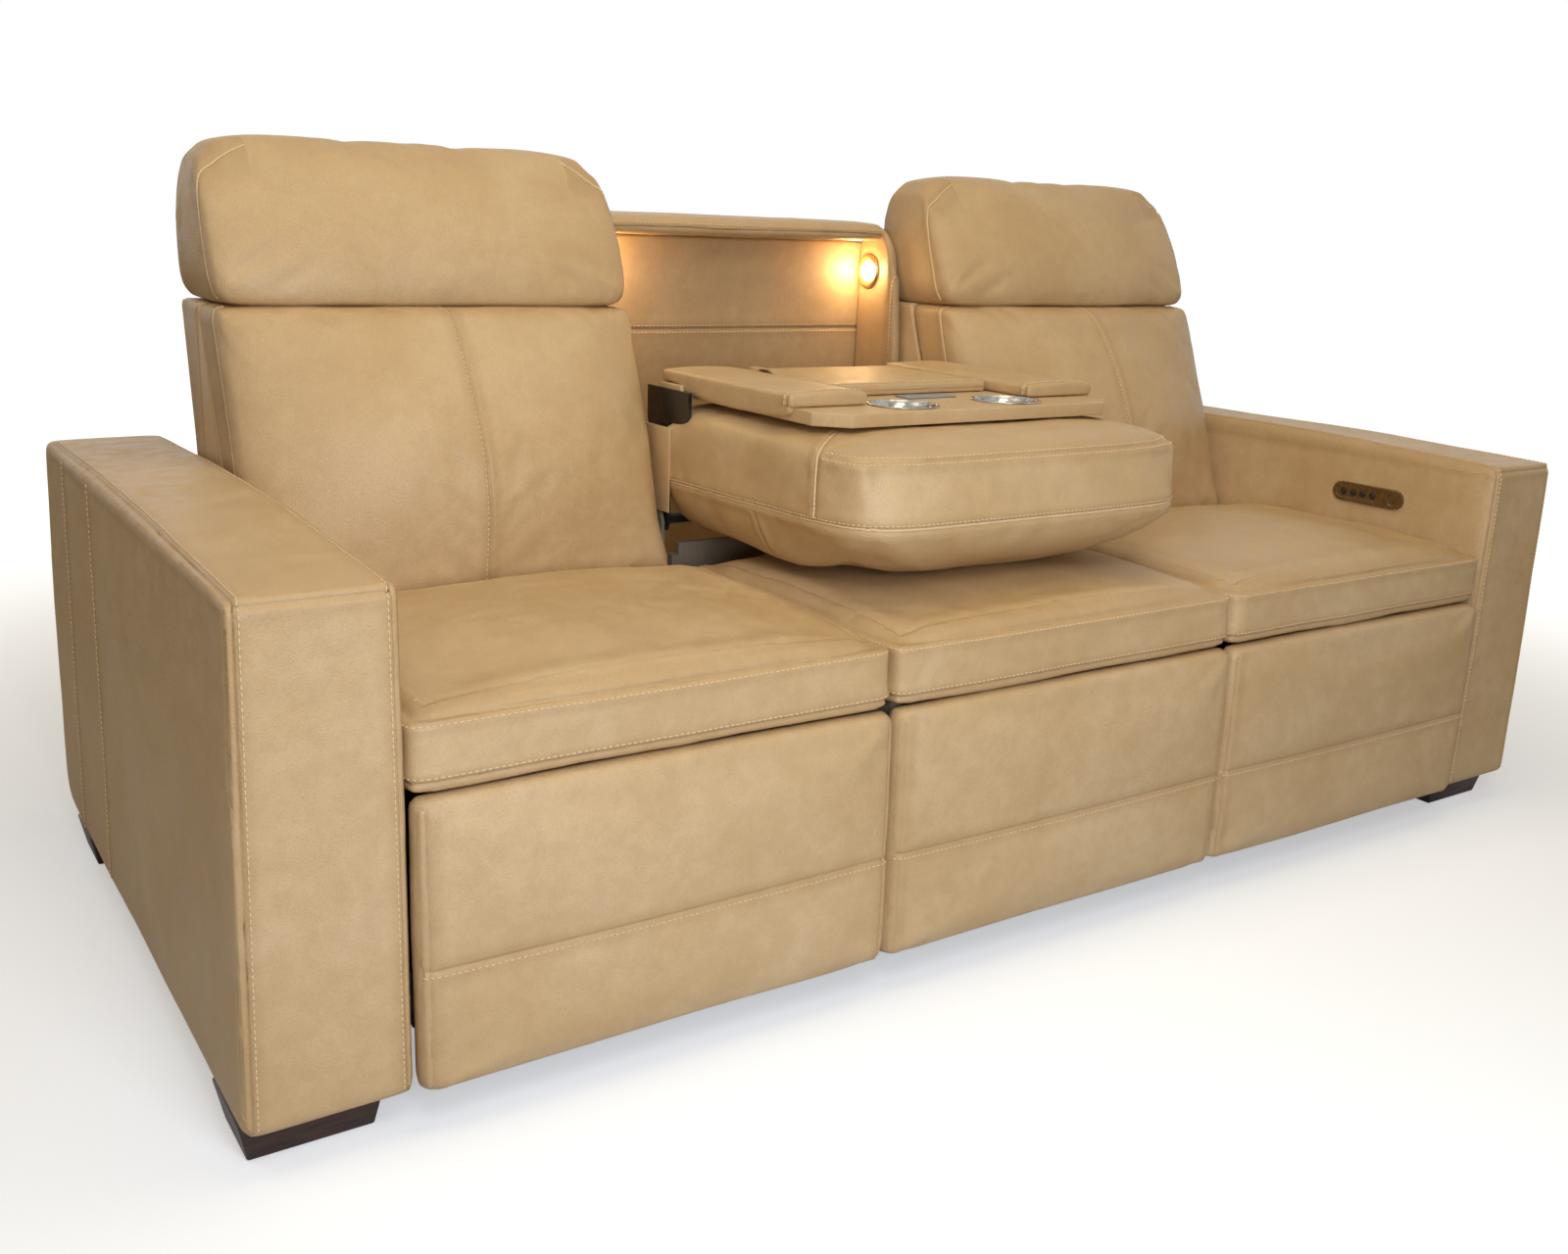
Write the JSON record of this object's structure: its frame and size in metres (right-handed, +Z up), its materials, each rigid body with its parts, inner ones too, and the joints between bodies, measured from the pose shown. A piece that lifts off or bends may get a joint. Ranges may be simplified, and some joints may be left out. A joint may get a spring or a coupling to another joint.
{
  "type": "sofa with drop down console",
  "caption": "Three-seat power reclining leather sofa whose middle back folds down into a console table with cup holders and storage.",
  "frame": {"origin": "middle of the footprint on the floor", "axes": "+X across the sofa, -Y the way it faces, +Z up"},
  "size_m": [2.2594, 1.106, 1.072],
  "materials": {
    "tan_leather": "satin",
    "dark_wood": "satin",
    "black_steel": "satin",
    "stainless": "satin",
    "bronze": "satin",
    "black_plastic": "satin",
    "grey_cloth": "matte",
    "outlet_grey": "satin",
    "lamp_lens": "clear"
  },
  "bodies": {
    "root": {"arm_left": "tan_leather", "foot_front_left": "dark_wood", "foot_rear_left": "dark_wood", "niche_wing_left": "tan_leather", "light_bezel_left": "bronze", "light_lens_left": "lamp_lens", "switch_plate_left": "bronze", "arm_right": "tan_leather", "foot_front_right": "dark_wood", "foot_rear_right": "dark_wood", "niche_wing_right": "tan_leather", "light_bezel_right": "bronze", "light_lens_right": "lamp_lens", "switch_plate_right": "bronze", "base_frame": "black_steel", "centre_seat_cushion": "tan_leather", "centre_front_panel": "tan_leather", "lower_screen": "grey_cloth", "niche_back": "tan_leather", "niche_rail": "tan_leather", "centre_frame": "black_steel"},
    "console": {"console_cushion": "tan_leather", "console_table": "tan_leather", "console_cranks": "black_steel", "outlet_plate": "outlet_grey", "console_bolster_left": "tan_leather", "cup_holder_left": "stainless", "console_bolster_right": "tan_leather", "cup_holder_right": "stainless"},
    "lid": {"console_lid": "tan_leather"},
    "left_seat": {"left_seat_frame": "black_steel", "left_seat_cushion": "tan_leather", "left_actuator": "black_plastic"},
    "left_back": {"left_back_shell": "tan_leather", "left_back_cushion": "tan_leather"},
    "left_head": {"left_headrest": "tan_leather"},
    "left_lift": {"left_lift_bars": "black_steel"},
    "left_cross": {"left_cross_bars": "black_steel"},
    "left_stay": {"left_stay_bars": "black_steel"},
    "left_footrest": {"left_panel_carrier": "black_steel", "left_footrest_panel": "tan_leather"},
    "button_left_1_body": {"button_left_1": "black_plastic"},
    "button_left_2_body": {"button_left_2": "black_plastic"},
    "button_left_3_body": {"button_left_3": "black_plastic"},
    "button_left_4_body": {"button_left_4": "black_plastic"},
    "right_seat": {"right_seat_frame": "black_steel", "right_seat_cushion": "tan_leather", "right_actuator": "black_plastic"},
    "right_back": {"right_back_shell": "tan_leather", "right_back_cushion": "tan_leather"},
    "right_head": {"right_headrest": "tan_leather"},
    "right_lift": {"right_lift_bars": "black_steel"},
    "right_cross": {"right_cross_bars": "black_steel"},
    "right_stay": {"right_stay_bars": "black_steel"},
    "right_footrest": {"right_panel_carrier": "black_steel", "right_footrest_panel": "tan_leather"},
    "button_right_1_body": {"button_right_1": "black_plastic"},
    "button_right_2_body": {"button_right_2": "black_plastic"},
    "button_right_3_body": {"button_right_3": "black_plastic"},
    "button_right_4_body": {"button_right_4": "black_plastic"}
  },
  "joints": [
    {"name": "console_fold", "type": "hinge", "parent": "root", "child": "console", "pos_m": [0, 0.105, 0.52], "axis": [1, 0, 0], "range_deg": [-91.5, 0]},
    {"name": "lid_open", "type": "hinge", "parent": "console", "child": "lid", "pos_m": [0, 0.115, 0.7403], "axis": [-1, 0, 0], "range_deg": [0, 80]},
    {"name": "left_footrest_slide", "type": "slide", "parent": "root", "child": "left_seat", "axis": [0, -1, 0], "range_m": [0, 0.075]},
    {"name": "left_lift_turn", "type": "hinge", "parent": "left_seat", "child": "left_lift", "pos_m": [-0.62933, -0.4, 0.345], "axis": [-1, 0, 0], "range_deg": [0, 70.5]},
    {"name": "left_cross_turn", "type": "hinge", "parent": "left_lift", "child": "left_cross", "pos_m": [-0.62933, -0.42257, 0.21697], "axis": [1, 0, 0], "range_deg": [0, 141]},
    {"name": "left_stay_turn", "type": "hinge", "parent": "left_lift", "child": "left_stay", "pos_m": [-0.62933, -0.44515, 0.08895], "axis": [1, 0, 0], "range_deg": [0, 141]},
    {"name": "left_panel_turn", "type": "hinge", "parent": "left_stay", "child": "left_footrest", "pos_m": [-0.62933, -0.46772, 0.21697], "axis": [-1, 0, 0], "range_deg": [0, 141]},
    {"name": "left_back_recline", "type": "hinge", "parent": "left_seat", "child": "left_back", "pos_m": [-0.62933, 0.12, 0.43], "axis": [-1, 0, 0], "range_deg": [0, 30]},
    {"name": "left_head_tilt", "type": "hinge", "parent": "left_back", "child": "left_head", "pos_m": [-0.62933, 0.165, 0.85], "axis": [1, 0, 0], "range_deg": [0, 20]},
    {"name": "button_left_1_press", "type": "slide", "parent": "root", "child": "button_left_1_body", "axis": [-1, 0, 0], "range_m": [0, 0.001], "stiffness_N_per_m": 1500},
    {"name": "button_left_2_press", "type": "slide", "parent": "root", "child": "button_left_2_body", "axis": [-1, 0, 0], "range_m": [0, 0.001], "stiffness_N_per_m": 1500},
    {"name": "button_left_3_press", "type": "slide", "parent": "root", "child": "button_left_3_body", "axis": [-1, 0, 0], "range_m": [0, 0.001], "stiffness_N_per_m": 1500},
    {"name": "button_left_4_press", "type": "slide", "parent": "root", "child": "button_left_4_body", "axis": [-1, 0, 0], "range_m": [0, 0.001], "stiffness_N_per_m": 1500},
    {"name": "right_footrest_slide", "type": "slide", "parent": "root", "child": "right_seat", "axis": [0, -1, 0], "range_m": [0, 0.075]},
    {"name": "right_lift_turn", "type": "hinge", "parent": "right_seat", "child": "right_lift", "pos_m": [0.62933, -0.4, 0.345], "axis": [-1, 0, 0], "range_deg": [0, 70.5]},
    {"name": "right_cross_turn", "type": "hinge", "parent": "right_lift", "child": "right_cross", "pos_m": [0.62933, -0.42257, 0.21697], "axis": [1, 0, 0], "range_deg": [0, 141]},
    {"name": "right_stay_turn", "type": "hinge", "parent": "right_lift", "child": "right_stay", "pos_m": [0.62933, -0.44515, 0.08895], "axis": [1, 0, 0], "range_deg": [0, 141]},
    {"name": "right_panel_turn", "type": "hinge", "parent": "right_stay", "child": "right_footrest", "pos_m": [0.62933, -0.46772, 0.21697], "axis": [-1, 0, 0], "range_deg": [0, 141]},
    {"name": "right_back_recline", "type": "hinge", "parent": "right_seat", "child": "right_back", "pos_m": [0.62933, 0.12, 0.43], "axis": [-1, 0, 0], "range_deg": [0, 30]},
    {"name": "right_head_tilt", "type": "hinge", "parent": "right_back", "child": "right_head", "pos_m": [0.62933, 0.165, 0.85], "axis": [1, 0, 0], "range_deg": [0, 20]},
    {"name": "button_right_1_press", "type": "slide", "parent": "root", "child": "button_right_1_body", "axis": [1, 0, 0], "range_m": [0, 0.001], "stiffness_N_per_m": 1500},
    {"name": "button_right_2_press", "type": "slide", "parent": "root", "child": "button_right_2_body", "axis": [1, 0, 0], "range_m": [0, 0.001], "stiffness_N_per_m": 1500},
    {"name": "button_right_3_press", "type": "slide", "parent": "root", "child": "button_right_3_body", "axis": [1, 0, 0], "range_m": [0, 0.001], "stiffness_N_per_m": 1500},
    {"name": "button_right_4_press", "type": "slide", "parent": "root", "child": "button_right_4_body", "axis": [1, 0, 0], "range_m": [0, 0.001], "stiffness_N_per_m": 1500}
  ],
  "couplings": [
    {"joint": "left_lift_turn", "follows": "left_footrest_slide", "rad_per_m": 16.29},
    {"joint": "left_cross_turn", "follows": "left_footrest_slide", "rad_per_m": 32.58},
    {"joint": "left_stay_turn", "follows": "left_footrest_slide", "rad_per_m": 32.58},
    {"joint": "left_panel_turn", "follows": "left_footrest_slide", "rad_per_m": 32.58},
    {"joint": "right_lift_turn", "follows": "right_footrest_slide", "rad_per_m": 16.29},
    {"joint": "right_cross_turn", "follows": "right_footrest_slide", "rad_per_m": 32.58},
    {"joint": "right_stay_turn", "follows": "right_footrest_slide", "rad_per_m": 32.58},
    {"joint": "right_panel_turn", "follows": "right_footrest_slide", "rad_per_m": 32.58}
  ]
}
